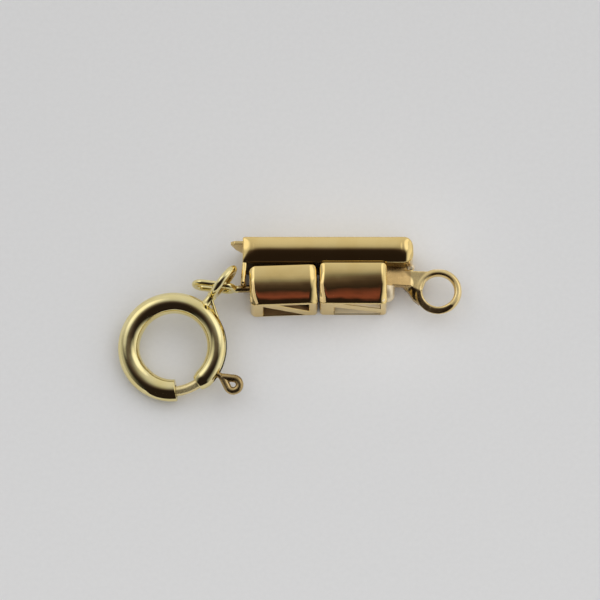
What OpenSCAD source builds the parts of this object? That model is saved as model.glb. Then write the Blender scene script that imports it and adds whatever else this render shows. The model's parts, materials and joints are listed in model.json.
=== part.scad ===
// Self-locking clasp: two magnet barrels beside a lock bar, with a flat eyelet at one end
// and a spring ring hung on the other.
// X runs along the bar, Y to its back and Z up. The origin is the middle of the footprint.

/* [Whole clasp] */
// Length from the spring ring's far side to the eyelet's
clasp_length = 18.85; // [18.8:0.05:18.9]
// Depth from the spring ring's front to the bar's back
clasp_depth = 8.95; // [8.9:0.05:9]
// Place along the length where the two barrels meet
mate_x = 1.55; // [1.5:0.05:1.6]

/* [Lock bar] */
// Length of the bar with its hook plate
bar_length = 9.48; // [9.3:0.02:9.6]
// Depth of the bar from front to back
bar_depth = 1.46; // [1.4:0.02:1.6]
// Height of the bar's straight sides
bar_shoulder = 2.1; // [2:0.02:2.16]
// Rise of the bar's domed top above its sides
bar_rise = 0.36; // [0.3:0.02:0.44]
// Rounding of the bar's ends
bar_end_r = 0.55; // [0.4:0.05:0.65]

/* [Hook plate and tab] */
// Thickness of the hook plate
hook_t = 0.27; // [0.24:0.01:0.3]
// Reach of the hook plate in front of the bar
hook_reach = 1.19; // [1.1:0.01:1.22]
// Height of the hook plate
hook_h = 2.12; // [2:0.02:2.2]
// Gap between the hook plate and the barrel that it holds
hook_gap = 0.14; // [0.12:0.01:0.16]
// Width of the flat shoulder where the plate is soldered to the bar
hook_shoulder = 0.6; // [0.5:0.05:0.7]
// Length of the pointed tab
tab_length = 0.54; // [0.4:0.02:0.6]
// Thickness of the pointed tab
tab_t = 0.2; // [0.16:0.02:0.24]
// Distance from the tab to the bar's back
tab_inset = 0.18; // [0.1:0.02:0.3]

/* [Barrels] */
// Length of the fixed barrel
lock_barrel_length = 3.68; // [3.6:0.02:3.72]
// Depth of the fixed barrel
lock_barrel_depth = 2.33; // [2.3:0.01:2.36]
// Length of the sliding barrel
slide_barrel_length = 3.79; // [3.76:0.01:3.8]
// Depth of the sliding barrel
slide_barrel_depth = 2.14; // [2.1:0.01:2.16]
// Height of a barrel's straight sides
barrel_shoulder = 2.13; // [2.1:0.01:2.2]
// Rise of a barrel's domed top above its sides
barrel_rise = 0.4; // [0.34:0.02:0.46]
// Rounding of a barrel's top where it meets an end
barrel_end_r = 0.45; // [0.35:0.05:0.55]
// Rounding of a barrel's upright corners
barrel_corner_r = 0.22; // [0.16:0.02:0.24]
// Thickness of a barrel's walls
wall = 0.25; // [0.22:0.01:0.28]
// Thickness of a barrel's floor
floor_t = 0.15; // [0.12:0.01:0.18]
// Gap between the two barrels
mate_gap = 0.14; // [0.12:0.01:0.16]
// Turn of the sliding barrel, seen from above
slide_yaw = 2; // [1:0.5:2]

/* [Pierced windows] */
// Length of the window in a barrel's front wall
window_length = 2.5; // [2.3:0.05:2.5]
// Distance from the sliding barrel's window to its mating end
slide_window_start = 0.47; // [0.42:0.01:0.55]
// Distance from the fixed barrel's window to its mating end
lock_window_start = 0.82; // [0.7:0.02:0.86]
// Height of the window
window_h = 1.8; // [1.6:0.05:1.8]
// Height of the strut that crosses a window, measured upright
strut_h = 0.72; // [0.6:0.02:0.8]
// Middle of the sliding barrel's strut at the window's left edge
slide_strut_left = 1.9; // [1.8:0.05:2]
// Middle of the sliding barrel's strut at the window's right edge
slide_strut_right = 0.15; // [0.1:0.05:0.3]
// Middle of the fixed barrel's strut at the window's left edge
lock_strut_left = 1.58; // [1.5:0.02:1.7]
// Middle of the fixed barrel's strut at the window's right edge
lock_strut_right = 0.62; // [0.5:0.02:0.7]

/* [Magnets] */
// Diameter of a magnet
magnet_d = 1.5; // [1.3:0.05:1.6]
// Length of a magnet
magnet_length = 1.4; // [1:0.1:1.8]
// Clearance round a magnet, filled with cement on the real clasp
magnet_clear = 0.05; // [0.04:0.01:0.06]

/* [Neck and eyelet] */
// Radius of the eyelet's hole
eyelet_hole_r = 0.92; // [0.85:0.01:0.95]
// Outer radius of the eyelet
eyelet_r = 1.29; // [1.27:0.01:1.31]
// Thickness of the eyelet
eyelet_t = 0.5; // [0.44:0.02:0.52]
// Height of the eyelet's top
eyelet_top = 1.3; // [1.2:0.02:1.36]
// Place of the eyelet's centre from the clasp's middle line
eyelet_y = 1.7; // [1.66:0.01:1.74]
// Depth of the neck
neck_depth = 0.93; // [0.85:0.01:0.95]
// Distance from the neck to the bar
neck_inset = 0.18; // [0.16:0.01:0.2]
// Distance from the gusset's start to the eyelet's centre
gusset_length = 1.54; // [1.5:0.01:1.58]
// Thickness of the neck
neck_t = 0.46; // [0.42:0.02:0.5]
// Height of the neck's top
neck_top = 1.5; // [1.44:0.02:1.56]
// Radius of the boss that closes the fixed barrel's outer end
boss_r = 0.8; // [0.75:0.01:0.85]
// Thickness of the boss
boss_t = 0.48; // [0.4:0.02:0.5]
// Rounding of the boss's rim
boss_edge = 0.3; // [0.2:0.02:0.36]

/* [Loop of the sliding half] */
// Diameter of the stem
stem_d = 0.36; // [0.32:0.02:0.38]
// Height of the stem above the surface
stem_z = 1.15; // [1.14:0.01:1.18]
// Length of the stem outside the barrel
stem_length = 0.72; // [0.68:0.02:0.76]
// Room round the stem in the hook plate's notch
notch_room = 0.1; // [0.08:0.01:0.12]
// Offset of the stem to the back of the barrel's middle
stem_offset = 0.2; // [0.18:0.01:0.22]
// Diameter of the loop's wire
loop_wire = 0.35; // [0.31:0.02:0.37]
// Height of the loop
loop_h = 1.45; // [1.43:0.01:1.46]
// Length of the loop
loop_length = 2.5; // [2.4:0.05:2.6]
// Turn of the loop against the bar, seen from above
loop_yaw = -7; // [-8:0.5:-6]

/* [Spring ring] */
// Outer diameter of the spring ring
ring_d = 6; // [5.96:0.01:6.04]
// Diameter of the ring's tube
tube_d = 1.1; // [1.08:0.01:1.12]
// Diameter of the bore in the tube
bore_d = 0.76; // [0.74:0.01:0.78]
// Tilt of the ring as it lies, raised at the bail
ring_tilt = 12; // [11.8:0.1:12.4]
// Direction in which the ring is raised, from the bar's line
lean_dir = 51; // [50.5:0.5:51.5]
// Where the gap starts, clockwise from the bail
gap_start = 107; // [105:1:109]
// Where the gap ends, clockwise from the bail
gap_end = 136; // [134:1:137]
// Where the trigger slot starts, clockwise from the bail
slot_start = 21; // [18:1:28]
// Where the trigger slot ends, clockwise from the bail
slot_end = 92; // [90:1:95]
// Height of the trigger slot
slot_h = 0.36; // [0.34:0.01:0.38]
// Where the pressed flat ends, clockwise from the bail
flat_end = 181; // [175:1:185]
// Depth of the pressed flat at its middle
flat_depth = 0.03; // [0.01:0.01:0.04]
// Turn of the pressed flat about the tube, outwards from the top
flat_turn = 35; // [30:1:40]

/* [Bail] */
// Outer diameter of the bail
bail_d = 2.22; // [2.18:0.01:2.26]
// Diameter of the bail's wire
bail_wire = 0.37; // [0.33:0.01:0.38]
// Distance from the spring ring's centre to the bail's, seen from above
bail_reach = 4.44; // [4.42:0.01:4.46]
// Diameter of the solder between the ring and its bail
solder_d = 0.44; // [0.36:0.02:0.5]

/* [Gate] */
// Diameter of the gate's rod
rod_d = 0.6; // [0.56:0.01:0.62]
// Where the rod starts inside the tube, clockwise from the bail
rod_start = 62; // [60:1:70]
// Where the rod ends in the catch, clockwise from the bail
rod_end = 140; // [139:1:143]
// Where the trigger stands, clockwise from the bail
trigger_at = 83; // [82:1:85]
// Lean of the trigger from straight outward
trigger_lean = -4; // [-8:1:0]
// Diameter of the trigger's wire
trigger_wire = 0.28; // [0.24:0.01:0.3]
// Outer radius of the trigger's round end
trigger_r = 0.52; // [0.48:0.01:0.56]
// Distance from the ring's outside to where the trigger's wire parts
trigger_stand = 0.06; // [0.04:0.01:0.08]
// Distance from the spring ring's centre to the trigger's far end
trigger_reach = 4.56; // [4.4:0.02:4.6]

/* [Hidden] */
$fn = 64;
gold = [0.84, 0.71, 0.42];
nickel = [0.62, 0.62, 0.6];
join = 0.05; // how far soldered pieces run into each other
step = 0.04; // how much thinner a piece is where it runs into a round one
bar_back = clasp_depth / 2;
bar_front = bar_back - bar_depth;
barrel_front = bar_front - lock_barrel_depth;
lock_barrel_x = mate_x + mate_gap / 2;
lock_barrel_y = barrel_front + lock_barrel_depth / 2;
slide_barrel_x = mate_x - mate_gap / 2;
slide_barrel_y = barrel_front + slide_barrel_depth / 2;
hook_x = slide_barrel_x - slide_barrel_length - hook_gap - hook_t;
cavity_h = barrel_shoulder - 2 * floor_t;
magnet_z = floor_t + cavity_h / 2;
boss_x = lock_barrel_x + lock_barrel_length;
eyelet_x = clasp_length / 2 - eyelet_r;
loop_r = (loop_h - loop_wire) / 2;
loop_straight = loop_length - loop_h;
tube_path_r = (ring_d - tube_d) / 2;
lift_x = -sin(ring_tilt) * cos(lean_dir);
lift_y = -sin(ring_tilt) * sin(lean_dir);
ring_x = -clasp_length / 2 + tube_path_r * sqrt(1 - lift_x * lift_x) + tube_d / 2;
ring_y = -clasp_depth / 2 + tube_path_r * sqrt(1 - lift_y * lift_y) + tube_d / 2;
ring_z = tube_path_r * sin(ring_tilt) + tube_d / 2;
bail_distance = bail_reach / cos(ring_tilt);
bail_path_r = (bail_d - bail_wire) / 2;
trigger_path_r = trigger_r - trigger_wire / 2;
trigger_eye = trigger_reach - trigger_r;
trigger_foot = ring_d / 2 + trigger_stand;
stem_y = slide_barrel_y + stem_offset - slide_barrel_length * sin(slide_yaw);
neck_front = bar_front - neck_inset - neck_depth;
bend_x = eyelet_x - gusset_length;

// A rectangle with round corners, its lower left corner at the origin
module rounded_rect(w, h, r) {
    translate([r, 0]) square([w - 2 * r, h]);
    translate([0, r]) square([w, h - 2 * r]);
    for (x = [r, w - r], y = [r, h - r]) translate([x, y]) circle(r = r);
}

// The same with only its two upper corners round
module arched_rect(w, h, r) {
    square([w, h - r]);
    translate([r, 0]) square([w - 2 * r, h]);
    for (x = [r, w - r]) translate([x, h - r]) circle(r = r);
}

// A section with straight sides and a domed top, centred on its width
module domed_section(depth, shoulder, rise) {
    dome_r = (depth * depth / 4 + rise * rise) / (2 * rise);
    translate([-depth / 2, 0]) square([depth, shoulder]);
    intersection() {
        translate([-depth / 2, shoulder]) square([depth, rise]);
        translate([0, shoulder + rise - dome_r]) circle(r = dome_r, $fn = 128);
    }
}

// A domed block along X whose top rolls over at both ends
module domed_block(length, depth, shoulder, rise, end_r, corner_r) {
    intersection() {
        rotate([90, 0, 90]) linear_extrude(length) domed_section(depth, shoulder, rise);
        translate([0, depth, 0]) rotate([90, 0, 0]) linear_extrude(2 * depth) {
            arched_rect(length, shoulder + rise, end_r);
        }
        translate([0, -depth / 2, 0]) linear_extrude(shoulder + rise) {
            rounded_rect(length, depth, corner_r);
        }
    }
}

// A window with a slanting strut left across it, from the window's lower left corner
module window_outline(strut_left, strut_right) {
    difference() {
        square([window_length, window_h]);
        polygon([
            [-join, strut_left - strut_h / 2],
            [-join, strut_left + strut_h / 2],
            [window_length + join, strut_right + strut_h / 2],
            [window_length + join, strut_right - strut_h / 2],
        ]);
    }
}

// A hollow barrel from its mating end at the origin along +X, its window cut by the children
module barrel(length, depth) {
    difference() {
        domed_block(length, depth, barrel_shoulder, barrel_rise, barrel_end_r, barrel_corner_r);
        translate([wall, -depth / 2 + wall, floor_t]) {
            cube([length - 2 * wall, depth - 2 * wall, cavity_h]);
        }
        translate([-join, 0, magnet_z]) rotate([0, 90, 0]) {
            cylinder(d = magnet_d + 2 * magnet_clear, h = wall + 2 * join);
        }
        translate([0, -depth / 2 + wall + join, floor_t]) rotate([90, 0, 0]) {
            linear_extrude(wall + 2 * join) children();
        }
    }
}

module magnet() {
    translate([magnet_clear, 0, magnet_z]) rotate([0, 90, 0]) cylinder(d = magnet_d, h = magnet_length);
}

module place_lock_barrel() {
    translate([lock_barrel_x, lock_barrel_y, 0]) children();
}

module place_slide_barrel() {
    translate([slide_barrel_x, slide_barrel_y, 0]) rotate([0, 0, slide_yaw]) mirror([1, 0, 0]) children();
}

// The long bar, its dome rounded at both ends
module bar() {
    inset = hook_t / 2;
    translate([hook_x + inset, bar_front + bar_depth / 2, 0]) {
        domed_block(bar_length - inset, bar_depth, bar_shoulder, bar_rise, bar_end_r, bar_end_r);
    }
}

// The flat plate at the bar's left end, cut away below so that the stem slides under its jaw
module hook_plate() {
    notch = stem_d / 2 + notch_room;
    plate_front = bar_front - hook_reach;
    difference() {
        translate([hook_x, plate_front, 0]) linear_extrude(hook_h) {
            square([hook_t, hook_reach + bar_depth]);
            translate([0, hook_reach]) square([hook_shoulder, bar_depth]);
        }
        translate([hook_x - join, plate_front - join, -join]) {
            cube([hook_t + 2 * join, stem_y + notch - plate_front + join, stem_z + notch + join]);
        }
    }
}

// The thin upright tab that points away from the bar's back corner
module pointed_tab() {
    foot = 0.1;
    nose = 0.22;
    translate([hook_x + join, bar_back - tab_inset, 0]) rotate([90, 0, 0]) linear_extrude(tab_t) {
        polygon([
            [0, foot],
            [0, bar_shoulder],
            [-tab_length * 0.6, bar_shoulder],
            [-tab_length - join, bar_shoulder - nose],
            [-tab_length * 0.5, bar_shoulder / 2],
        ]);
    }
}

// The round boss on the fixed barrel's outer end
module end_boss() {
    thick = boss_t + join;
    translate([boss_x - join, lock_barrel_y, stem_z]) rotate([0, 90, 0]) rotate_extrude() {
        square([boss_r, thick - boss_edge]);
        square([boss_r - boss_edge, thick]);
        intersection() {
            translate([boss_r - boss_edge, thick - boss_edge]) circle(r = boss_edge);
            square([boss_r, thick]);
        }
    }
}

// The web that solders the neck to the bar, and the solder bead at its end
module neck_web() {
    web_inset = 0.25;
    web_t = neck_t - step;
    bead_r = 0.17;
    translate([boss_x + web_inset, neck_front + neck_depth / 2, neck_top - neck_t]) {
        cube([bend_x - boss_x - web_inset, bar_front + join - neck_front - neck_depth / 2, web_t]);
    }
    translate([bend_x + bead_r / 2, bar_front, neck_top - neck_t / 2]) sphere(r = bead_r);
}

// The neck from the barrel's end, widening into the eyelet in an S-shaped gusset
module neck() {
    translate([boss_x - join, neck_front, neck_top - neck_t]) {
        cube([bend_x - boss_x + join, neck_depth, neck_t]);
    }
    translate([0, 0, eyelet_top - eyelet_t]) linear_extrude(eyelet_t) polygon([
        [bend_x - 0.4, neck_front],
        [bend_x - 0.12, neck_front - 0.2],
        [bend_x + 0.16, neck_front - 0.62],
        [bend_x + 0.5, neck_front - 0.93],
        [eyelet_x, eyelet_y],
        [eyelet_x - 0.5, eyelet_y + 1.16],
        [bend_x + 0.5, neck_front + neck_depth],
        [bend_x - 0.4, neck_front + neck_depth],
    ]);
}

// The flat eyelet with a rounded rim
module eyelet() {
    translate([eyelet_x, eyelet_y, eyelet_top - eyelet_t]) rotate_extrude() {
        square([eyelet_r - eyelet_t / 2, eyelet_t]);
        translate([eyelet_r - eyelet_t / 2, eyelet_t / 2]) circle(d = eyelet_t);
    }
}

module lock_half() {
    color(gold) difference() {
        union() {
            bar();
            hook_plate();
            pointed_tab();
            place_lock_barrel() barrel(lock_barrel_length, lock_barrel_depth) {
                translate([lock_window_start, 0]) window_outline(lock_strut_left, lock_strut_right);
            }
            end_boss();
            neck_web();
            neck();
            eyelet();
        }
        translate([eyelet_x, eyelet_y, 0]) cylinder(r = eyelet_hole_r, h = neck_top + join);
    }
}

module lock_magnet() {
    color(nickel) place_lock_barrel() magnet();
}

// The oblong upright loop that the bail hangs in, from its near end along +X
module hanging_loop() {
    translate([loop_h / 2, 0, 0]) {
        rotate([90, 0, 0]) {
            rotate([0, 0, 90]) rotate_extrude(angle = 180) translate([loop_r, 0]) circle(d = loop_wire);
            translate([loop_straight, 0, 0]) rotate([0, 0, -90]) rotate_extrude(angle = 180) {
                translate([loop_r, 0]) circle(d = loop_wire);
            }
        }
        for (z = [-loop_r, loop_r]) {
            translate([0, 0, z]) rotate([0, 90, 0]) cylinder(d = loop_wire, h = loop_straight);
        }
    }
}

module slide_half() {
    color(gold) place_slide_barrel() {
        barrel(slide_barrel_length, slide_barrel_depth) {
            translate([slide_window_start + window_length, 0]) mirror([1, 0]) {
                window_outline(slide_strut_left, slide_strut_right);
            }
        }
        translate([slide_barrel_length - wall / 2, stem_offset, stem_z]) {
            rotate([0, 90, 0]) cylinder(d = stem_d, h = stem_length + wall / 2);
            translate([stem_length, 0, 0]) rotate([0, 0, slide_yaw - loop_yaw]) hanging_loop();
        }
    }
}

module slide_magnet() {
    color(nickel) place_slide_barrel() magnet();
}

// The spring ring lies tilted, with its bail side raised along local +X
module place_ring() {
    translate([ring_x, ring_y, ring_z]) rotate([0, 0, lean_dir]) rotate([0, -ring_tilt, 0]) children();
}

// Turns a ring section through the clockwise angles from one end to the other
module sweep_ring(from, to) {
    rotate([0, 0, -to]) rotate_extrude(angle = to - from, $fn = 128) children();
}

module ring_tube() {
    flat_middle = (gap_end + flat_end) / 2;
    flat_from = tube_d / 2 - flat_depth;
    difference() {
        sweep_ring(gap_end - 360, gap_start) {
            translate([tube_path_r, 0]) difference() {
                circle(d = tube_d);
                circle(d = bore_d);
            }
        }
        sweep_ring(slot_start, slot_end) {
            translate([tube_path_r + bore_d / 4, -slot_h / 2]) square([tube_d / 2, slot_h]);
        }
        rotate([0, 0, -flat_middle]) translate([tube_path_r, 0, 0]) rotate([0, -flat_turn, 0]) {
            translate([-tube_d, -tube_d, flat_from]) cube([2 * tube_d, 2 * tube_d, tube_d]);
        }
    }
}

module spring_ring() {
    color(gold) place_ring() {
        ring_tube();
        translate([ring_d / 2 - 2 * join, 0, 0]) rotate([0, 90, 0]) {
            cylinder(d = solder_d, h = bail_distance - bail_path_r - ring_d / 2 + 2 * join);
        }
        translate([bail_distance, 0, 0]) rotate([90, 0, 0]) rotate_extrude() {
            translate([bail_path_r, 0]) circle(d = bail_wire);
        }
    }
}

// The trigger: a wire loop drawn out to a point at its foot
module trigger() {
    reach = trigger_eye - trigger_foot;
    half_angle = asin(trigger_path_r / reach);
    side = sqrt(reach * reach - trigger_path_r * trigger_path_r);
    translate([reach, 0, 0]) rotate([0, 0, -90 - half_angle]) {
        rotate_extrude(angle = 180 + 2 * half_angle) translate([trigger_path_r, 0]) circle(d = trigger_wire);
    }
    for (turn = [-half_angle, half_angle]) {
        rotate([0, 0, turn]) rotate([0, 90, 0]) cylinder(d = trigger_wire - step, h = side + step);
    }
    translate([-step, 0, 0]) rotate([0, 90, 0]) sphere(d = trigger_wire + step);
}

module gate() {
    color(gold) place_ring() {
        sweep_ring(rod_start, rod_end) translate([tube_path_r, 0]) circle(d = rod_d);
        for (at = [rod_start, rod_end]) {
            rotate([0, 0, -at]) translate([tube_path_r, 0, 0]) sphere(d = rod_d - step);
        }
        rotate([0, 0, -trigger_at]) {
            translate([tube_path_r, 0, 0]) rotate([0, 90, 0]) {
                cylinder(d = trigger_wire, h = trigger_foot - tube_path_r);
            }
            translate([trigger_foot, 0, 0]) rotate([0, 0, trigger_lean]) trigger();
        }
    }
}

lock_half();
lock_magnet();
slide_half();
slide_magnet();
spring_ring();
gate();
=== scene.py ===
# %% [markdown]
# # A self-locking clasp in polished gold
#
# The clasp has two hollow barrels with a magnet in each. One barrel is soldered beside a
# long bar, and a plate at the bar's end hooks round the other. A flat eyelet takes one end
# of a necklace, and a spring ring takes the other. Polished metal shows hardly any colour of
# its own: it shows the room. So this lesson is about three things: clean curved surfaces,
# soft edges that catch light, and a room worth reflecting.

# %% Load the frame
import json
import math

import bmesh
import bpy
from mathutils import Matrix, Vector, noise


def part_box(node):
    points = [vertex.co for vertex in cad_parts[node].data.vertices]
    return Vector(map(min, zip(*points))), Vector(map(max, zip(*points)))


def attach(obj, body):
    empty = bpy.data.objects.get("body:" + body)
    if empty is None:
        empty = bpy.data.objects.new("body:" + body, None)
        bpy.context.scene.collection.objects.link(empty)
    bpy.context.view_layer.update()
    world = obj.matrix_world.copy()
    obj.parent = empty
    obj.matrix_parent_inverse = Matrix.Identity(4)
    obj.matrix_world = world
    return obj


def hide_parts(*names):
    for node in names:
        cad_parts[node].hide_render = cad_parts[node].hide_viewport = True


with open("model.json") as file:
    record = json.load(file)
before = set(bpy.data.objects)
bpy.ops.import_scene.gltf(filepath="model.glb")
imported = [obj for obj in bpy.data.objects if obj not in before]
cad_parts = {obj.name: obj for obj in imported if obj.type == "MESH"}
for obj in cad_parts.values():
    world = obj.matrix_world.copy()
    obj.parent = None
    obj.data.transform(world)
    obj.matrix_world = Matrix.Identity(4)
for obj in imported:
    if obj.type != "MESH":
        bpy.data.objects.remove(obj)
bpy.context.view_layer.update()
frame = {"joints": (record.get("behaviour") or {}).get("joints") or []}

# %% [markdown]
# ## Sizes that everything follows
#
# A clasp is small enough to think about in millimetres, so each mesh is made in millimetres
# and scaled down to Blender's metres at the very end. The places come from the frame: the
# boxes of the CAD solids and the axis that the spring ring's gate turns about.

# %% Sizes and places
MM = 0.001


def box_mm(node):
    """The lowest and highest corner of a solid, in millimetres."""
    low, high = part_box(node)
    return Vector(low) / MM, Vector(high) / MM


lock_low, lock_high = box_mm("lock_half")
magnet_low = box_mm("lock_magnet")[0]
tab_length = 0.54
eyelet_r = 1.28
inside_box = 0.01
hook_x = lock_low.x + tab_length
bar_back = lock_high.y
bar_depth = 1.46
bar_front = bar_back - bar_depth
magnet_clear = 0.05
mate_gap = 0.14
lock_barrel_x = magnet_low.x - magnet_clear
slide_barrel_x = lock_barrel_x - mate_gap
eyelet_x = lock_high.x - eyelet_r - inside_box
gate_joint = next(j for j in frame["joints"] if j["name"] == "gate_turn")
ring_centre = Vector(gate_joint["pos_m"]) / MM
ring_normal = Vector(gate_joint["axis"]).normalized()
print("bar back", round(bar_back, 3), "barrels meet at", round(lock_barrel_x - mate_gap / 2, 3))
print("ring centre", [round(v, 3) for v in ring_centre])

# %% [markdown]
# ## From numbers to a mesh
#
# Nearly every piece here is a grid of points: rings of points laid one after another, like
# the hoops of a barrel, with four-sided faces between them. One helper turns such a grid
# into faces, and another makes the object, welds points that fall together and turns all
# faces outwards.

# %% Grid and mesh helpers
WELD_DISTANCE = 0.0005


def grid_faces(rows, columns, closed_rows=False):
    """Four-sided faces between rows of points, each row a closed ring."""
    faces = []
    for i in range(rows if closed_rows else rows - 1):
        for j in range(columns):
            here, there = i * columns, ((i + 1) % rows) * columns
            k = (j + 1) % columns
            faces.append((here + j, here + k, there + k, there + j))
    return faces


def mesh_object(name, points, faces):
    """A closed mesh object, still in millimetres."""
    mesh = bpy.data.meshes.new(name)
    mesh.from_pydata([tuple(p) for p in points], [], faces)
    shape = bmesh.new()
    shape.from_mesh(mesh)
    bmesh.ops.remove_doubles(shape, verts=shape.verts, dist=WELD_DISTANCE)
    bmesh.ops.recalc_face_normals(shape, faces=shape.faces)
    shape.to_mesh(mesh)
    shape.free()
    obj = bpy.data.objects.new(name, mesh)
    bpy.context.scene.collection.objects.link(obj)
    return obj


# %% [markdown]
# ## Keeping what a modifier makes
#
# Cutting a window and softening an edge are jobs for modifiers. The result is then written into the mesh,
# so that the piece is plain geometry in the end. A second helper gives some faces of a piece another metal,
# because filing doesn't keep to the seams, and because some faces take painted shade and others a painted
# highlight.
# The last one scales a piece to metres and lets it ride on the right half of the clasp.

# %% Baking and finishing helpers
def bake(obj):
    """Writes the result of the modifiers into the mesh and removes them."""
    graph = bpy.context.evaluated_depsgraph_get()
    obj.data = bpy.data.meshes.new_from_object(obj.evaluated_get(graph))
    obj.modifiers.clear()


def add_modifier(obj, kind, **settings):
    """Adds one modifier and sets its values."""
    modifier = obj.modifiers.new(kind.lower(), kind)
    for key, value in settings.items():
        setattr(modifier, key, value)


def paint_faces(obj, metals, choose):
    """Gives a piece several metals. choose(centre, normal) says which one a face takes."""
    for finish in metals:
        obj.data.materials.append(finish)
    for face in obj.data.polygons:
        face.material_index = choose(face.center, face.normal)


def finish_piece(obj, material, body, node, smooth_angle=40, weighted=False):
    """Gives a piece its metal, if it is not painted yet, its body and the solid it stands for."""
    obj.data.shade_smooth()
    obj.data.set_sharp_from_angle(angle=math.radians(smooth_angle))
    if weighted:
        add_modifier(obj, "WEIGHTED_NORMAL", keep_sharp=True, weight=80)
        bake(obj)
    obj.data.transform(Matrix.Scale(MM, 4))
    if not obj.data.materials:
        obj.data.materials.append(material)
    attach(obj, body)
    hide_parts(node)
    print(obj.name, len(obj.data.polygons), "faces, rides on", body)


# %% [markdown]
# ## Gold, seen close
#
# Gold is a metal with a pale yellow base colour and a low roughness. What makes it
# believable is what the polishing left: a slow unevenness that bends reflections, fine
# lines in the direction of the cloth wheel, and spots where the shine is duller. All three
# are noise textures, read in millimetres, for the bump, the roughness and the tint.

# %% Node helpers
def node_tree(owner):
    """An empty node tree with a short way to add nodes."""
    owner.use_nodes = True
    tree = owner.node_tree
    tree.nodes.clear()

    def add(kind, values=None, **settings):
        node = tree.nodes.new(kind)
        for key, value in settings.items():
            setattr(node, key, value)
        for key, value in (values or {}).items():
            if isinstance(value, bpy.types.NodeSocket):
                tree.links.new(value, node.inputs[key])
            else:
                node.inputs[key].default_value = value
        return node

    return tree, add


def set_ramp(node, stops):
    """Places the stops of a colour ramp: (position, grey level or colour)."""
    ramp = node.color_ramp
    while len(ramp.elements) > 1:
        ramp.elements.remove(ramp.elements[-1])
    for n, (position, level) in enumerate(stops):
        element = ramp.elements[0] if n == 0 else ramp.elements.new(position)
        element.position = position
        element.color = (*level, 1) if isinstance(level, tuple) else (level, level, level, 1)


# %% Metal material
ALL_WAYS = (5.0, 5.0, 5.0)
ALONG_X = (0.5, 9.0, 9.0)


def metal(name, tint, deep_tint, dull, line_depth, wave_depth, metallic=1.0, line_scale=ALL_WAYS):
    """Polished metal. dull is the (least, most) roughness, depths are in millimetres."""
    material = bpy.data.materials.new(name)
    tree, add = node_tree(material)
    place = add("ShaderNodeTexCoord").outputs["Object"]
    mm = add("ShaderNodeMapping", {"Vector": place, "Scale": (1 / MM, 1 / MM, 1 / MM)}).outputs[0]
    clouds = add("ShaderNodeTexNoise", {"Vector": mm, "Scale": 0.8, "Detail": 3.0})
    tints = add("ShaderNodeValToRGB", {"Fac": clouds.outputs["Fac"]})
    set_ramp(tints, [(0.35, deep_tint), (0.6, tint)])
    spots = add("ShaderNodeTexNoise", {"Vector": mm, "Scale": 3.5, "Detail": 6.0, "Roughness": 0.6})
    shine = add("ShaderNodeMapRange", {"Value": spots.outputs["Fac"], "From Min": 0.35, "From Max": 0.75})
    shine.inputs["To Min"].default_value, shine.inputs["To Max"].default_value = dull
    stretched = add("ShaderNodeMapping", {"Vector": mm, "Scale": line_scale}).outputs[0]
    lines = add("ShaderNodeTexNoise", {"Vector": stretched, "Scale": 1.0, "Detail": 4.0})
    waves = add("ShaderNodeTexNoise", {"Vector": mm, "Scale": 1.1, "Detail": 1.0})
    slow = add("ShaderNodeBump", {"Height": waves.outputs["Fac"], "Distance": wave_depth * MM})
    fine = add("ShaderNodeBump", {"Height": lines.outputs["Fac"], "Distance": line_depth * MM})
    tree.links.new(slow.outputs[0], fine.inputs["Normal"])
    surface = add("ShaderNodeBsdfPrincipled", {"Metallic": metallic, "Base Color": tints.outputs["Color"]})
    tree.links.new(shine.outputs["Result"], surface.inputs["Roughness"])
    tree.links.new(fine.outputs[0], surface.inputs["Normal"])
    add("ShaderNodeOutputMaterial", {"Surface": surface.outputs[0]})
    return material


# %% [markdown]
# The same recipe makes every metal of the clasp. The barrels and the bar are buffed along their length, and
# the ring's wire is a slightly greener alloy. Solder and filing leave their own tones: satin on the eyelet
# and tan on the neck, and the trigger is a browner gold. Some metals are painted light and shade: cream is
# a painted highlight on the boss and the solder bead, brown is painted shade on the gusset's front flank,
# on the stem and inside the bail, and nearly black is painted shade in the gap between the bar and the
# barrels. Inside the barrels nobody polished. A metallic value below one mixes a plain diffuse colour into
# the metal: inside the barrels it stands for a skin of flux or dust that scatters some light, and on the
# boss, the bead and the gate rod it is part of the painted highlight.

# %% The metals
buffed_gold = metal(
    "buffed_gold", (0.92, 0.7, 0.3), (0.88, 0.65, 0.26), (0.05, 0.1), 0.0008, 0.012, line_scale=ALONG_X,
)
wire_gold = metal("wire_gold", (0.94, 0.82, 0.43), (0.9, 0.76, 0.35), (0.06, 0.12), 0.0008, 0.008)
satin_gold = metal("satin_gold", (0.93, 0.73, 0.36), (0.88, 0.66, 0.29), (0.16, 0.3), 0.002, 0.02)
tan_gold = metal("tan_gold", (0.67, 0.46, 0.2), (0.58, 0.39, 0.16), (0.24, 0.38), 0.002, 0.02)
cream_highlight_gold = metal("cream_highlight_gold", (0.98, 0.84, 0.6), (0.9, 0.75, 0.5), (0.3, 0.45), 0.004, 0.01, 0.6)
brown_gold = metal("brown_gold", (0.6, 0.44, 0.2), (0.42, 0.3, 0.13), (0.2, 0.35), 0.004, 0.02)
gap_shade_gold = metal("gap_shade_gold", (0.13, 0.08, 0.035), (0.08, 0.05, 0.02), (0.35, 0.5), 0.004, 0.01, 0.8)
raw_gold = metal("raw_gold", (0.56, 0.35, 0.15), (0.4, 0.24, 0.1), (0.3, 0.5), 0.006, 0.01, 0.7)
pale_gold = metal("pale_gold", (1.0, 0.87, 0.62), (0.92, 0.78, 0.5), (0.3, 0.45), 0.004, 0.01, 0.1)
rod_gold = metal("rod_gold", (0.94, 0.8, 0.44), (0.88, 0.72, 0.36), (0.2, 0.3), 0.002, 0.01, 0.75)
nickel = metal("nickel", (0.66, 0.64, 0.6), (0.55, 0.53, 0.5), (0.2, 0.34), 0.002, 0.005)
print(len(bpy.data.materials), "metals made")

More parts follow.
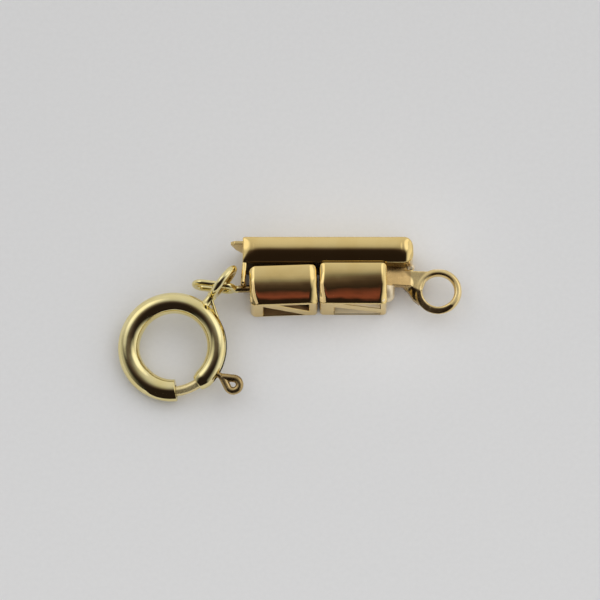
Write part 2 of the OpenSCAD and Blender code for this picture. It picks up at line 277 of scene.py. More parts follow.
# %% [markdown]
# ## A block with a domed top
#
# The bar and both barrels are the same kind of form: upright sides, a top that is arched
# from front to back, and ends where that arch rolls over. A cube with bevels would show
# flat patches in its reflections. Here rings of points follow the outline instead, up the
# wall, round a small edge and in to a spine along the middle. The arch is given by its
# slopes and not by its heights, because the slope decides which part of the room a spot
# mirrors. At each end a barrel's arch sinks in a smooth roll. The bar's ends are more like
# filed chamfers: there a soft minimum of the two heights melts the arch and the end together.
# Four numbers describe an end: the radius of its corners seen from above, the length of its
# roll, how far it drops, and how sharply it bends.

# %% Outline of a block
def rounded_outline(x0, x1, y0, y1, left_r, right_r, gap=0.07):
    """Points round a rectangle, anticlockwise, with its own corner radius at each end."""
    def arc(cx, cy, r, start):
        return [
            (cx + r * math.cos(math.radians(start + a)), cy + r * math.sin(math.radians(start + a)))
            for a in range(0, 90, 10)
        ]

    def straight(p, q):
        steps = max(1, round(math.dist(p, q) / gap))
        return [(p[0] + (q[0] - p[0]) * k / steps, p[1] + (q[1] - p[1]) * k / steps) for k in range(steps)]

    return (
        straight((x0 + left_r, y0), (x1 - right_r, y0))
        + arc(x1 - right_r, y0 + right_r, right_r, 270)
        + straight((x1, y0 + right_r), (x1, y1 - right_r))
        + arc(x1 - right_r, y1 - right_r, right_r, 0)
        + straight((x1 - right_r, y1), (x0 + left_r, y1))
        + arc(x0 + left_r, y1 - left_r, left_r, 90)
        + straight((x0, y1 - left_r), (x0, y0 + left_r))
        + arc(x0 + left_r, y0 + left_r, left_r, 180)
    )


# %% Section of a dome
def soft_min(a, b, blend=0.05):
    """The lesser of two heights, with a small round blend where they cross."""
    return -blend * math.log(math.exp(-a / blend) + math.exp(-b / blend))


def dome_drops(slopes, steps=80):
    """Turns slopes in degrees, given from the front edge (-1) to the back (1), into drops."""
    heights = [0.0]
    for k in range(steps):
        t = -1 + 2 * (k + 0.5) / steps
        (t0, s0), (t1, s1) = next(pair for pair in zip(slopes, slopes[1:]) if t <= pair[1][0])
        slope = s0 + (s1 - s0) * (t - t0) / (t1 - t0)
        heights.append(heights[-1] + 2 / steps * math.tan(math.radians(slope)))
    return [max(heights) - height for height in heights]


def drop_at(drops, t):
    """The drop below the crest at one place across the dome."""
    at = (t + 1) / 2 * (len(drops) - 1)
    k = min(int(at), len(drops) - 2)
    return drops[k] + (drops[k + 1] - drops[k]) * (at - k)


# %% Domed block
TOP_RINGS = 22
END_BOW, END_UNEVEN, CHAMFER_RISE, SHEET_WAVE = 0.5, 0.3, 0.4, 0.006


def domed_block(name, x0, x1, depth, peak, domes, left, right, edge=0.05, chamfered=False):
    """domes are the slopes at the two ends; an end is (corner, roll, drop, bend)."""
    half = depth / 2
    left_drops, right_drops = [dome_drops(slopes) for slopes in domes]

    def height(x, y):
        share = (x - x0) / (x1 - x0)
        t = max(-1.0, min(y / half, 1.0))
        z = peak - half * (drop_at(left_drops, t) * (1 - share) + drop_at(right_drops, t) * share)
        for distance, (corner, roll, drop, bend) in ((x - x0, left), (x1 - x, right)):
            distance -= END_BOW * corner * min(t, 0) ** 2
            uneven = 1 + END_UNEVEN * noise.noise(Vector((x0, 2.4 * y, 5.0 * x1)))
            fall = drop * uneven * (1 - min(max(distance, 0) / roll, 1)) ** bend
            if chamfered:
                z = soft_min(z, peak - fall + CHAMFER_RISE * max(distance - roll, 0))
            else:
                z -= fall
        return z + SHEET_WAVE * noise.noise(Vector((0.9 * x, 0.9 * y, 7.0 * depth)))

    outline = rounded_outline(x0, x1, -half, half, left[0], right[0])
    spine = [Vector((min(max(x, x0 + half), x1 - half), 0)) for x, _ in outline]
    points = []

    def ring(inset, z_of):
        for (x, y), target in zip(outline, spine):
            start = Vector((x, y))
            way = target - start
            at = start + way * min(inset / way.length, 1) if way.length > 0 else start
            points.append((at.x, at.y, z_of(at.x, at.y)))

    def even(inset_share, z_of):
        for (x, y), target in zip(outline, spine):
            at = Vector((x, y)).lerp(target, inset_share)
            points.append((at.x, at.y, z_of(at.x, at.y)))

    quarter = [math.radians(a) for a in (0, 22.5, 45, 67.5, 90)]
    # the underside, from the spine outwards
    even(1.0, lambda x, y: 0.0)
    even(0.5, lambda x, y: 0.0)
    # the lower edge, the wall and the upper edge
    for a in quarter:
        ring(edge * (1 - math.sin(a)), lambda x, y, a=a: edge * (1 - math.cos(a)))
    for share in (0.02, 0.25, 0.5, 0.75, 0.98):
        ring(0.0, lambda x, y, s=share: edge + s * (height(x, y) - 2 * edge))
    for a in quarter:
        ring(edge * (1 - math.cos(a)), lambda x, y, a=a: height(x, y) - edge * (1 - math.sin(a)))
    # the dome, inwards to the spine
    start = edge / half
    for k in range(1, TOP_RINGS + 1):
        even(start + (1 - start) * k / TOP_RINGS, height)
    rows = len(points) // len(outline)
    return mesh_object(name, points, grid_faces(rows, len(outline)))


# %% [markdown]
# ## The lock bar
#
# The bar is the clasp's backbone. Its right end is rounded in every direction. Its left end stays square
# and rolls down to the hook plate, which is soldered on there. Its front faces the barrels across a narrow
# gap where shade falls. Two pieces could show that, but one piece keeps its edge unbroken, so its front
# faces behind the barrels take a nearly black metal: painted shade.

# %% Lock bar
bar_length = 9.48
bar_shoulder = 2.1
bar_rise = 0.36
bar_slopes = [(-1, 28), (-0.2, 18), (-0.1, 12), (0.05, 4.5), (0.15, 0.5), (0.45, -8), (0.75, -22), (1, -42)]
bar_inset = 0.13
bar = domed_block(
    "lock_bar", hook_x + bar_inset, hook_x + bar_length, bar_depth, bar_shoulder + bar_rise,
    domes=(bar_slopes, bar_slopes), left=(0.1, 0.55, 0.22, 1.4), right=(0.55, 0.6, 0.42, 1.8),
    edge=0.06, chamfered=True,
)
# The bar's front faces behind the barrels are painted nearly black: painted shade in the gap.
front_face_y = 0.07 - bar_depth / 2
barrels_end_x = lock_barrel_x + 3.6
paint_faces(bar, (buffed_gold, gap_shade_gold), lambda c, n: int(c.y < front_face_y and c.x < barrels_end_x))
bar.data.transform(Matrix.Translation((0, bar_front + bar_depth / 2, 0)))
finish_piece(bar, buffed_gold, "fixed_half", "lock_half")

# %% [markdown]
# ## Pierced barrels
#
# Each barrel is a box of sheet gold with a domed top. The front wall is pierced, and a
# strut slants across the opening. The block above is cut by Boolean modifiers: a box makes
# it hollow, a round bore takes the magnet and two prisms open the window. The prisms flare
# at the face, which leaves a small bevel that catches light like filed metal does.

# %% Window outlines
def clip_below(polygon, left_z, right_z, width, keep_above):
    """The part of a polygon above or below a slanting line."""
    def side(p):
        line = left_z + (right_z - left_z) * p[0] / width
        return (p[1] - line) if keep_above else (line - p[1])

    kept = []
    for p, q in zip(polygon, polygon[1:] + polygon[:1]):
        if side(p) >= 0:
            kept.append(p)
        if side(p) * side(q) < 0:
            t = side(p) / (side(p) - side(q))
            kept.append((p[0] + t * (q[0] - p[0]), p[1] + t * (q[1] - p[1])))
    return kept


def grown(polygon, amount):
    """A convex anticlockwise polygon with each edge moved outwards."""
    points = [Vector(p) for p in polygon]
    moved = []
    for a, b, c in zip(points[-1:] + points[:-1], points, points[1:] + points[:1]):
        before = (b - a).normalized()
        after = (c - b).normalized()
        out_before = Vector((before.y, -before.x))
        out_after = Vector((after.y, -after.x))
        miter = (out_before + out_after).normalized()
        moved.append(b + miter * amount / max(miter.dot(out_before), 0.3))
    return moved


# %% Cutters
def prism(name, sections):
    """A closed form between outlines, each a list of points in space."""
    points = [p for section in sections for p in section]
    count = len(sections[0])
    faces = grid_faces(len(sections), count)
    faces.append(tuple(range(count)))
    faces.append(tuple(range(len(points) - count, len(points))))
    return mesh_object(name, points, faces)


def box_cutter(name, x0, x1, y0, y1, z0, z1):
    """A plain box, as a prism between two rectangles."""
    floor = [(x0, y0, z0), (x1, y0, z0), (x1, y1, z0), (x0, y1, z0)]
    return prism(name, [floor, [(x, y, z1) for x, y, _ in floor]])


def window_cutters(x_left, face_y, strut_left, strut_right):
    """The two openings on either side of the strut."""
    width, height, sill, strut, flare = 2.5, 1.72, 0.15, 0.72, 0.035
    outside, through = 0.1, 0.4
    frame_outline = [(0, 0), (width, 0), (width, height), (0, height)]
    cutters = []
    for keep_above in (True, False):
        shift = strut / 2 if keep_above else -strut / 2
        hole = clip_below(frame_outline, strut_left + shift, strut_right + shift, width, keep_above)
        sections = []
        for y, grow in ((-outside, flare), (0.0, flare), (flare, 0.0), (through, 0.0)):
            sections.append([(x_left + p[0], face_y + y, sill + p[1]) for p in grown(hole, grow)])
        cutters.append(prism("window_cutter", sections))
    return cutters


def cut(obj, cutters):
    """Takes the cutters away from a block, one after another."""
    for cutter in cutters:
        add_modifier(obj, "BOOLEAN", operation="DIFFERENCE", solver="EXACT", object=cutter)
    bake(obj)
    for cutter in cutters:
        bpy.data.objects.remove(cutter)


# %% Bore for a magnet
def round_bar(name, radius_of, x0, x1, steps=1, sides=64):
    """A round form along X. radius_of gives its radius for a share from 0 to 1."""
    turns = [2 * math.pi * j / sides for j in range(sides)]
    sections = []
    for k in range(steps + 1):
        share = k / steps
        x, r = x0 + (x1 - x0) * share, radius_of(share)
        sections.append([(x, r * math.cos(a), r * math.sin(a)) for a in turns])
    return prism(name, sections)


# %% [markdown]
# A barrel is the block, less its hollow, its bore and its window. The faces that the hollow
# leaves behind get the unpolished metal: they are picked out by where they lie.

# %% Barrels
wall = 0.25
floor_t = 0.15
barrel_shoulder = 2.13
barrel_rise = 0.4
hollow_top = 1.8
magnet_d = 1.5
magnet_z = barrel_shoulder / 2


def barrel(name, x0, x1, depth, window_x, struts, domes, ends, lining):
    """A hollow block along X. Its mating end, with the bore, is at x = 0."""
    peak = barrel_shoulder + barrel_rise
    block = domed_block(name, x0, x1, depth, peak, domes, left=ends[0], right=ends[1])
    inner = depth / 2 - wall
    hollow = box_cutter("hollow", x0 + wall, x1 - wall, -inner, inner, floor_t, hollow_top)
    bore_reach = wall + 0.05
    bore = round_bar("bore", lambda s: magnet_d / 2 + magnet_clear, -bore_reach, bore_reach)
    bore.data.transform(Matrix.Translation((0, 0, magnet_z)))
    cut(block, [hollow, bore] + window_cutters(window_x, -depth / 2, *struts))

    def is_lining(c, n):
        between_walls = x0 + wall / 2 < c.x < x1 - wall / 2 and abs(c.y) < depth / 2 - wall / 2
        return int(between_walls and floor_t / 2 < c.z < barrel_shoulder - floor_t / 2)

    paint_faces(block, (buffed_gold, lining), is_lining)
    return block


# %% Fixed barrel
lock_barrel_length = 3.68
lock_barrel_depth = 2.23
seam = 0.1
barrel_front = bar_front - seam - lock_barrel_depth
lock_barrel_y = barrel_front + lock_barrel_depth / 2
lock_barrel = barrel(
    "fixed_barrel", 0.0, lock_barrel_length, lock_barrel_depth,
    window_x=0.82, struts=(1.58, 0.62), domes=(
        [(-1, 24), (-0.25, 14), (0.0, 10), (0.36, 4.4), (0.6, 0), (0.88, -5), (1, -22)],
        [(-1, 23), (-0.1, 15), (0.3, 10), (0.64, 0), (0.88, -5), (1, -22)],
    ),
    ends=((0.22, 0.36, 0.16, 2), (0.2, 0.34, 0.2, 2)), lining=pale_gold,
)
lock_barrel.data.transform(Matrix.Translation((lock_barrel_x, lock_barrel_y, 0)))
finish_piece(lock_barrel, buffed_gold, "fixed_half", "lock_half", weighted=True)
# A nearly black block fills the seam between the bar and the fixed barrel: painted shade in the gap.
into_metal = 0.1
seam_shade = box_cutter(
    "seam_shade_block", lock_barrel_x + 2 * into_metal, lock_barrel_x + lock_barrel_length - into_metal,
    bar_front - seam - into_metal, bar_front + into_metal, 0.08, barrel_shoulder - wall,
)
finish_piece(seam_shade, gap_shade_gold, "fixed_half", "lock_half")

# %% Sliding barrel
slide_barrel_length = 3.69
slide_barrel_depth = 2.14
slide_barrel_y = barrel_front + slide_barrel_depth / 2
slide_yaw = math.radians(2)
slide_place = Matrix.Translation((slide_barrel_x, slide_barrel_y, 0)) @ Matrix.Rotation(slide_yaw, 4, "Z")
slide_barrel = barrel(
    "sliding_barrel", -slide_barrel_length, 0.0, slide_barrel_depth,
    window_x=-2.97, struts=(1.9, 0.15), domes=(
        [(-1, 24), (-0.2, 13.5), (0, 11), (0.2, 5.5), (0.42, 0), (0.85, -6), (1, -16)],
        [(-1, 24), (-0.25, 13.5), (-0.05, 11), (0.15, 5.5), (0.38, 0), (0.85, -6), (1, -16)],
    ),
    ends=((0.34, 0.36, 0.18, 2), (0.2, 0.44, 0.2, 2)), lining=raw_gold,
)
slide_barrel.data.transform(slide_place)
finish_piece(slide_barrel, buffed_gold, "sliding_half", "slide_half", weighted=True)

# %% [markdown]
# ## Magnets
#
# A magnet is a nickel-plated plug with a small bevel round each face. It is only seen
# through the bore and the window, but without it the barrel would look empty. A cylinder
# with a Bevel modifier would do. The bar helper is shorter here: it asks for a radius at
# each place along the plug, and that radius includes the bevel.

# %% Magnets
magnet_length = 1.4
magnet_bevel = 0.06


def magnet_radius(share):
    """The plug's radius, less near its two ends."""
    from_end = min(share, 1 - share) * magnet_length
    return magnet_d / 2 - max(magnet_bevel - from_end, 0)


lock_plug = round_bar("fixed_magnet", magnet_radius, magnet_clear, magnet_clear + magnet_length, steps=70)
lock_plug.data.transform(Matrix.Translation((lock_barrel_x, lock_barrel_y, magnet_z)))
finish_piece(lock_plug, nickel, "fixed_half", "lock_magnet")
slide_plug = round_bar(
    "sliding_magnet", magnet_radius, -magnet_clear - magnet_length, -magnet_clear, steps=70,
)
slide_plug.data.transform(slide_place @ Matrix.Translation((0, 0, magnet_z)))
finish_piece(slide_plug, nickel, "sliding_half", "slide_magnet")

# %% [markdown]
# ## Flat pieces with soft edges
#
# The hook plate and the pointed tab are cut from sheet. Each is an outline drawn in points,
# pushed to the sheet's thickness and given a Bevel modifier, because real sheet never has a
# sharp edge. The hook plate's upper edge is worn fully round, so its bevel is nearly half its
# thickness, and that round draws the thin bright line at the bar's end in the photo. The
# plate has a notch for the stem and stands a few degrees askew, as it was soldered.

# %% Sheet helper
def sheet_piece(name, outline, thickness, bevel, place):
    """An outline in X and Y, pushed up along Z, with rounded edges, then put in its place."""
    floor = [(x, y, 0.0) for x, y in outline]
    obj = prism(name, [floor, [(x, y, thickness) for x, y, _ in floor]])
    add_modifier(obj, "BEVEL", width=bevel, segments=4, limit_method="ANGLE", angle_limit=0.5)
    bake(obj)
    obj.data.transform(place)
    return obj


# %% Hook plate
hook_t = 0.27
hook_reach = 1.19
hook_h = 2.12
stem_d = 0.4
stem_z = 1.15
stem_offset = 0.2
stem_y = slide_barrel_y + stem_offset - slide_barrel_length * math.sin(slide_yaw)
notch_room = 0.1
notch = stem_d / 2 + notch_room
plate_front = bar_front - hook_reach
plate_inset = 0.11
plate_bevel = 0.125
plate_askew = math.radians(-5)
into_bar = 0.3
upright = Matrix.Rotation(math.radians(90), 4, "Y") @ Matrix.Rotation(math.radians(90), 4, "Z")
hook_turn = Matrix.Rotation(plate_askew, 4, "Z") @ Matrix.Translation((0, -bar_front, 0))
hook_plate = sheet_piece(
    "hook_plate",
    [
        (plate_front, stem_z + notch),
        (stem_y + notch, stem_z + notch),
        (stem_y + notch, 0.0),
        (bar_front + into_bar, 0.0),
        (bar_front + into_bar, hook_h),
        (plate_front, hook_h),
    ],
    hook_t, plate_bevel, Matrix.Translation((hook_x + plate_inset, bar_front, 0)) @ hook_turn @ upright,
)
finish_piece(hook_plate, buffed_gold, "fixed_half", "lock_half", weighted=True)

# %% Pointed tab
tab_t = 0.2
tab_inset = 0.18
tab_root = 0.3
tab_top = bar_shoulder - 0.03
tab_bevel = 0.04
standing = Matrix.Rotation(math.radians(90), 4, "X")
tab = sheet_piece(
    "pointed_tab",
    [
        (tab_root, 0.1),
        (tab_root, tab_top),
        (-0.6 * tab_length, tab_top),
        (-tab_length, bar_shoulder - 0.22),
        (-0.5 * tab_length, bar_shoulder / 2),
    ],
    tab_t, tab_bevel, Matrix.Translation((hook_x, bar_back - tab_inset, 0)) @ standing,
)
finish_piece(tab, satin_gold, "fixed_half", "lock_half", weighted=True)

# %% [markdown]
# ## Boss, neck and eyelet
#
# At the right end several pieces meet under solder: a round boss, a flat neck that slopes
# down, a gusset and the eyelet. Solder fills every inner corner with a small round. Making
# those rounds by hand is tedious, so the parts are simply overlapped, and a voxel Remesh
# wraps one skin round them all. A Smooth modifier then melts the corners like solder does.
# The eyelet was pinched when it was soldered on: past a fold near its lower left, the upper
# half of its section sinks, which turns that side of the rim away from the light.

# %% Sizes of the eyelet end
boss_x = lock_barrel_x + lock_barrel_length
boss_r = 0.6
boss_t = 0.44
boss_edge = 0.4
neck_depth = 0.93
neck_t = 0.42
neck_top = 1.6
neck_front = bar_front - 0.18 - neck_depth
bend_x = eyelet_x - 1.54
eyelet_y = 1.7
eyelet_seen_r = 0.87
eyelet_t = 0.5
eyelet_top = 1.3


def boss_radius(share):
    """The boss's radius, which rounds off over the last part of its length."""
    past_edge = max(share * (boss_t + wall) - (boss_t + wall - boss_edge), 0)
    return boss_r - boss_edge + math.sqrt(max(boss_edge**2 - past_edge**2, 0))


def neck_height(x):
    """The neck slopes down from the barrel to the eyelet."""
    share = min(max((x - boss_x) / (bend_x + 0.2 - boss_x), 0), 1)
    return neck_top + (eyelet_top - neck_top) * share


# %% Flat ring
FOLD_TOWARDS, FOLD_FROM = math.radians(244), 0.45


def ring_mesh(name, centre, radius, half_width, half_height, fullness=1.0, lean=0.0, sides=96, section=32):
    """A flat-lying ring. Its section is an oval, squarer with a lower fullness. lean sinks one side."""
    points = []
    for i in range(sides):
        a = 2 * math.pi * i / sides
        for j in range(section):
            b = 2 * math.pi * j / section
            wide, high = math.cos(b), math.sin(b)
            r = radius + half_width * math.copysign(abs(wide) ** fullness, wide)
            z = half_height * math.copysign(abs(high) ** fullness, high)
            past_fold = max(0, r * math.cos(a - FOLD_TOWARDS) - FOLD_FROM)
            z -= lean * past_fold * max(0, z) / half_height
            points.append(centre + Vector((r * math.cos(a), r * math.sin(a), z)))
    return mesh_object(name, points, grid_faces(sides, section, closed_rows=True))


# %% Join and melt
def fuse(name, parts, voxel, rounds):
    """One skin round all the parts, with softened inner corners."""
    bpy.ops.object.select_all(action="DESELECT")
    for part in parts:
        part.select_set(True)
    bpy.context.view_layer.objects.active = parts[0]
    bpy.ops.object.join()
    fused = parts[0]
    fused.name = name
    add_modifier(fused, "REMESH", mode="VOXEL", voxel_size=voxel)
    add_modifier(fused, "SMOOTH", factor=0.5, iterations=rounds)
    bake(fused)
    return fused


# %% [markdown]
# The parts below overlap each other by more than a voxel, so the skin has no holes. The
# gusset is a prism through three outlines: a lower edge, the same edge higher up, and a
# crest that is set back, which gives the flank its slope.

# %% Boss and neck
boss = round_bar("boss", boss_radius, boss_x - wall, boss_x + boss_t, steps=24)
boss.data.transform(Matrix.Translation((0, lock_barrel_y - 0.09, stem_z - 0.1)))
neck_back = neck_front + neck_depth
neck_x0, neck_x1, neck_y1 = boss_x - 0.05, bend_x + 0.1, bar_front + 0.05
leans_back = math.tan(math.radians(4))
neck_tops = [
    (x, y, neck_height(x) - leans_back * (y - neck_front - neck_depth / 2))
    for x, y in ((neck_x0, neck_front), (neck_x1, neck_front), (neck_x1, neck_y1), (neck_x0, neck_y1))
]
neck = prism("neck", [[(x, y, z - neck_t) for x, y, z in neck_tops], neck_tops])

# %% Gusset
gusset_edge = [
    (bend_x - 0.4, neck_front + 0.06), (bend_x - 0.12, neck_front - 0.2),
    (bend_x + 0.16, neck_front - 0.62), (bend_x + 0.5, neck_front - 0.9),
    (eyelet_x - 0.95, eyelet_y), (eyelet_x - 0.5, eyelet_y + 1.1),
    (bend_x + 0.5, neck_back - 0.03), (bend_x - 0.4, neck_back - 0.03),
]
gusset_crest = [
    (bend_x - 0.38, neck_front + 0.08), (bend_x - 0.1, neck_front + 0.04),
    (bend_x + 0.1, neck_front - 0.04), (bend_x + 0.5, neck_front - 0.22),
    (eyelet_x - 0.88, eyelet_y),
] + gusset_edge[5:]
gusset = prism(
    "gusset",
    [[(x, y, neck_height(x) - drop) for x, y in edge] for edge, drop in (
        (gusset_edge, 0.75), (gusset_edge, 0.34), (gusset_crest, 0.03),
    )],
)

# %% Eyelet, web and bead
smoothing_loss = 0.002
eyelet = ring_mesh(
    "eyelet", Vector((eyelet_x, eyelet_y, eyelet_top - eyelet_t / 2)), (eyelet_r + eyelet_seen_r) / 2,
    (eyelet_r - eyelet_seen_r) / 2 + smoothing_loss, eyelet_t / 2, fullness=0.8, lean=0.33,
)
web = box_cutter("web", boss_x + 0.25, bend_x, neck_back - 0.2, bar_front + 0.1, 1.08, 1.34)
bead_r = 0.17
bead = round_bar(
    "bead", lambda s: bead_r * math.sqrt(max(1 - (2 * s - 1) ** 2, 0.01)), -bead_r, bead_r, 10, 24,
)
bead.data.transform(Matrix.Translation((bend_x + 0.08, bar_front, 1.27)))

# %% Skin and finishes of the eyelet end
eyelet_end = fuse("eyelet_end", [boss, neck, gusset, eyelet, web, bead], voxel=0.03, rounds=9)
# On the eyelet's end, brown is painted shade and cream a painted highlight.
SATIN, BROWN_SHADE, CREAM_HIGHLIGHT, TAN = range(4)


def eyelet_end_metal(c, n):
    """Painted shade in brown on the gusset's front flank, a painted highlight in cream on the boss and the
    bead, tan on the neck.
    """
    if bend_x - 0.3 < c.x < eyelet_x - 0.5 and c.y < neck_front and n.z < 0.93 and n.y < -0.2:
        return BROWN_SHADE
    if c.x < boss_x + boss_t + 0.05 and c.y < neck_front - 0.02:
        return CREAM_HIGHLIGHT
    if c.x > bend_x - 0.12 and c.y > bar_front - 0.14 and c.z > 1.2:
        return CREAM_HIGHLIGHT
    return TAN if c.x < bend_x + 0.02 else SATIN


paint_faces(eyelet_end, (satin_gold, brown_gold, cream_highlight_gold, tan_gold), eyelet_end_metal)
finish_piece(eyelet_end, satin_gold, "fixed_half", "lock_half", smooth_angle=80)

# %% [markdown]
# ## Wire, bent and soldered
#
# The hanging loop, the bail and the trigger are bent from round wire. A curve object with a
# round bevel could make them. A mesh is used here, because these wires are then joined and
# wrapped in one skin. A wire is a circle carried along a path. The circle must not spin on
# the way, so each step turns the last frame by the least it can.

# %% Wire helper
def sweep(name, path, radius, closed=False, sides=24):
    """A round wire along a path. An open one ends in domes."""
    path = [Vector(p) for p in path]
    radii = [radius] * len(path)
    if not closed:
        first, last = path[0], path[-1]
        back = (path[0] - path[1]).normalized() * radius
        forth = (path[-1] - path[-2]).normalized() * radius
        for a in (25, 50, 70, 85):
            reach, shrink = math.sin(math.radians(a)), math.cos(math.radians(a))
            path = [first + back * reach] + path + [last + forth * reach]
            radii = [radius * shrink] + radii + [radius * shrink]
    count = len(path)
    turns = [2 * math.pi * j / sides for j in range(sides)]
    sections = []
    side = None
    for i, at in enumerate(path):
        ahead = path[(i + 1) % count] if closed or i < count - 1 else at
        behind = path[i - 1] if closed or i > 0 else at
        along = (ahead - behind).normalized()
        side = along.orthogonal() if side is None else side
        side = (side - along * side.dot(along)).normalized()
        other = along.cross(side)
        sections.append([at + (side * math.cos(a) + other * math.sin(a)) * radii[i] for a in turns])
    if not closed:
        return prism(name, sections)
    points = [p for section in sections for p in section]
    return mesh_object(name, points, grid_faces(count, sides, closed_rows=True))


def arc_points(centre_x, centre_y, r, start, end, step=4):
    """Points on an arc between two angles in degrees."""
    count = max(2, round(abs(end - start) / step))
    angles = [math.radians(start + (end - start) * k / count) for k in range(count + 1)]
    return [(centre_x + r * math.cos(a), centre_y + r * math.sin(a)) for a in angles]


# %% [markdown]
# The loop is an upright oblong of wire, soldered to the stem. A flared collar of solder sits where the stem
# leaves the barrel, before the skin is wrapped. The stem and the near end of the loop are painted brown:
# painted shade, where the hook plate shades them.

# %% Stem and hanging loop
loop_wire = 0.35
loop_h = 1.3
loop_length = 2.5
loop_yaw = math.radians(-7)
stem_length = 0.82
stem_start = -slide_barrel_length
loop_start = slide_place @ Vector((stem_start + wall / 2 - stem_length, stem_offset, stem_z))
loop_along = Vector((-math.cos(loop_yaw), -math.sin(loop_yaw), 0))
loop_r = (loop_h - loop_wire) / 2
near, far = loop_h / 2, loop_length - loop_h / 2
flat_path = arc_points(near, 0, loop_r, 90, 270) + arc_points(far, 0, loop_r, -90, 90)
loop_path = [loop_start + loop_along * u + Vector((0, 0, v)) for u, v in flat_path]
loop = sweep("loop", loop_path, loop_wire / 2, closed=True)
into_barrel, stem_step = 0.15, 0.1
stem_path = [(stem_start + into_barrel - k * stem_step, stem_offset, stem_z) for k in range(10)]
stem = sweep("stem", [slide_place @ Vector(p) for p in stem_path], stem_d / 2)
collar = round_bar("collar", lambda s: 0.19 + 0.1 * s**3, stem_start - 0.12, stem_start + 0.1, 8, 32)
collar.data.transform(slide_place @ Matrix.Translation((0, stem_offset, stem_z)))
hanger = fuse("hanging_loop", [stem, loop, collar], voxel=0.022, rounds=4)
# The stem, the collar and the near end of the loop are painted brown: painted shade under the hook plate.
stem_shade_x = loop_start.x + 0.08
paint_faces(hanger, (wire_gold, brown_gold), lambda c, n: int(c.x > stem_shade_x))
finish_piece(hanger, wire_gold, "sliding_half", "slide_half", smooth_angle=80)

# %% [markdown]
# ## The spring ring
#
# The ring is a tube bent round, with a gap that the gate closes. A torus has no gap, no bore
# and no pressed end, so this is a grid of points again. All the ring's pieces are made in a
# frame of their own, with the bail on the first axis and angles counted clockwise from it,
# and then laid down tilted, just as the axis of the gate's joint says.

# %% Frame of the ring
up = Vector((0, 0, 1))
ring_out = (up - ring_normal * up.dot(ring_normal)).normalized()
ring_side = ring_normal.cross(ring_out)
ring_turn = Matrix((ring_out, ring_side, ring_normal)).transposed().to_4x4()
ring_place = Matrix.Translation(ring_centre) @ ring_turn
ring_d = 6.0
tube_d = 1.1
bore_d = 0.76
tube_path_r = (ring_d - tube_d) / 2
gap_start, gap_end, flat_end = 107, 136, 181
print("ring leans", round(math.degrees(up.angle(ring_normal)), 1), "degrees")


# %% A bent tube
oval_by, oval_towards, drawn_in = 0.045, 48, 0.012


def out_of_round(clockwise):
    """A bent tube is never a true circle: this one stands out a little on its right."""
    return oval_by * math.cos(math.radians(clockwise - oval_towards)) - drawn_in


def on_ring(clockwise, outwards=0.0, upwards=0.0):
    """A point by its angle on the ring and its place in the tube's section."""
    a = math.radians(-clockwise)
    r = tube_path_r + out_of_round(clockwise) + outwards
    return Vector((r * math.cos(a), r * math.sin(a), upwards))


# %% [markdown]
# The tube is two skins of points, an outer and an inner one, joined at both ends. Three
# things make it look bent and squeezed by hand, and not turned on a lathe: its section is a
# little wider on one side, it thins towards the end that the gate slides in, and its catch
# end is pressed flat and spreads inwards.

# %% Rows of the tube
def tube_rows():
    """Angles along the tube, closer together at its ends, each with its loss of radius."""
    soft = 0.05
    step = math.degrees(soft / tube_path_r)
    start, end = gap_end - 360, gap_start
    ends = [(t, soft * (1 - math.sqrt(1 - (1 - t) ** 2))) for t in (0.0, 0.15, 0.4, 0.7, 1.0)]
    rows = [(start + step * t, loss) for t, loss in ends]
    inner_steps, taper, taper_depth = 220, 11, 0.13

    def tapered(clockwise):
        return taper_depth * max(0, 1 - (end - clockwise) / taper) ** 1.5

    inner = [start + step + (end - start - 2 * step) * k / inner_steps for k in range(1, inner_steps)]
    rows += [(clockwise, tapered(clockwise)) for clockwise in inner]
    return rows + [(end - step * t, loss + tapered(end - step * t)) for t, loss in reversed(ends)]


# %% Catch end
flat_depth, flat_turn = 0.05, math.radians(35)
plate_length, plate_fade = 50, 35


def pressed(clockwise, outwards, upwards):
    """Presses the catch end flat where it was squeezed."""
    share = ((clockwise + 360) % 360 - gap_end) / (flat_end - gap_end)
    if not 0 <= share <= 1:
        return outwards, upwards
    depth = flat_depth * math.sin(math.pi * min(share + 0.25, 1)) ** 0.5
    tip, rise = math.sin(flat_turn), math.cos(flat_turn)
    over = max(outwards * tip + upwards * rise - (tube_d / 2 - depth), 0)
    return outwards - over * tip, upwards - over * rise


def catch_plate(clockwise):
    """1 where the catch end is squeezed and spreads inwards, fading out along the tube."""
    past = clockwise % 360 - gap_end
    return min(1, max(0, 1 - (past - plate_length) / plate_fade)) if past >= 0 else 0


# %% Tube
most_bore_loss = 0.04
tube_width, wider_by, widest_at = 1.035, 0.045, 250
plate_spread, hand_wave = 0.18, 0.002


def build_tube():
    """The outer skin from one end to the other, and the bore's skin back again."""
    sides = 56
    rows = tube_rows()
    points = []
    for base, shrinks in ((tube_d / 2, True), (bore_d / 2, False)):
        for clockwise, loss in rows if shrinks else reversed(rows):
            r = base - (loss if shrinks else min(loss, most_bore_loss))
            for j in range(sides):
                b = 2 * math.pi * j / sides
                out, high = r * math.cos(b), r * math.sin(b)
                if shrinks:
                    out, high = pressed(clockwise, out, high)
                    width = tube_width + wider_by * math.cos(math.radians(clockwise - widest_at))
                    if out < 0:
                        width += plate_spread * catch_plate(clockwise)
                    out *= width - hand_wave * noise.noise(Vector((clockwise / 9, b, 0)))
                points.append(on_ring(clockwise, out, high))
    return mesh_object("ring_tube", points, grid_faces(2 * len(rows), sides, closed_rows=True))


# %% [markdown]
# The trigger's slot is cut with a bent prism whose ends are round, as a small milling
# cutter would leave it. The prism is laid in small sections along the arc. Drawn as one
# outline and pushed through the wall, it would get a many-sided bent cap, which cuts badly.

# %% Trigger slot
slot_start, slot_end, slot_h = 21, 92, 0.36


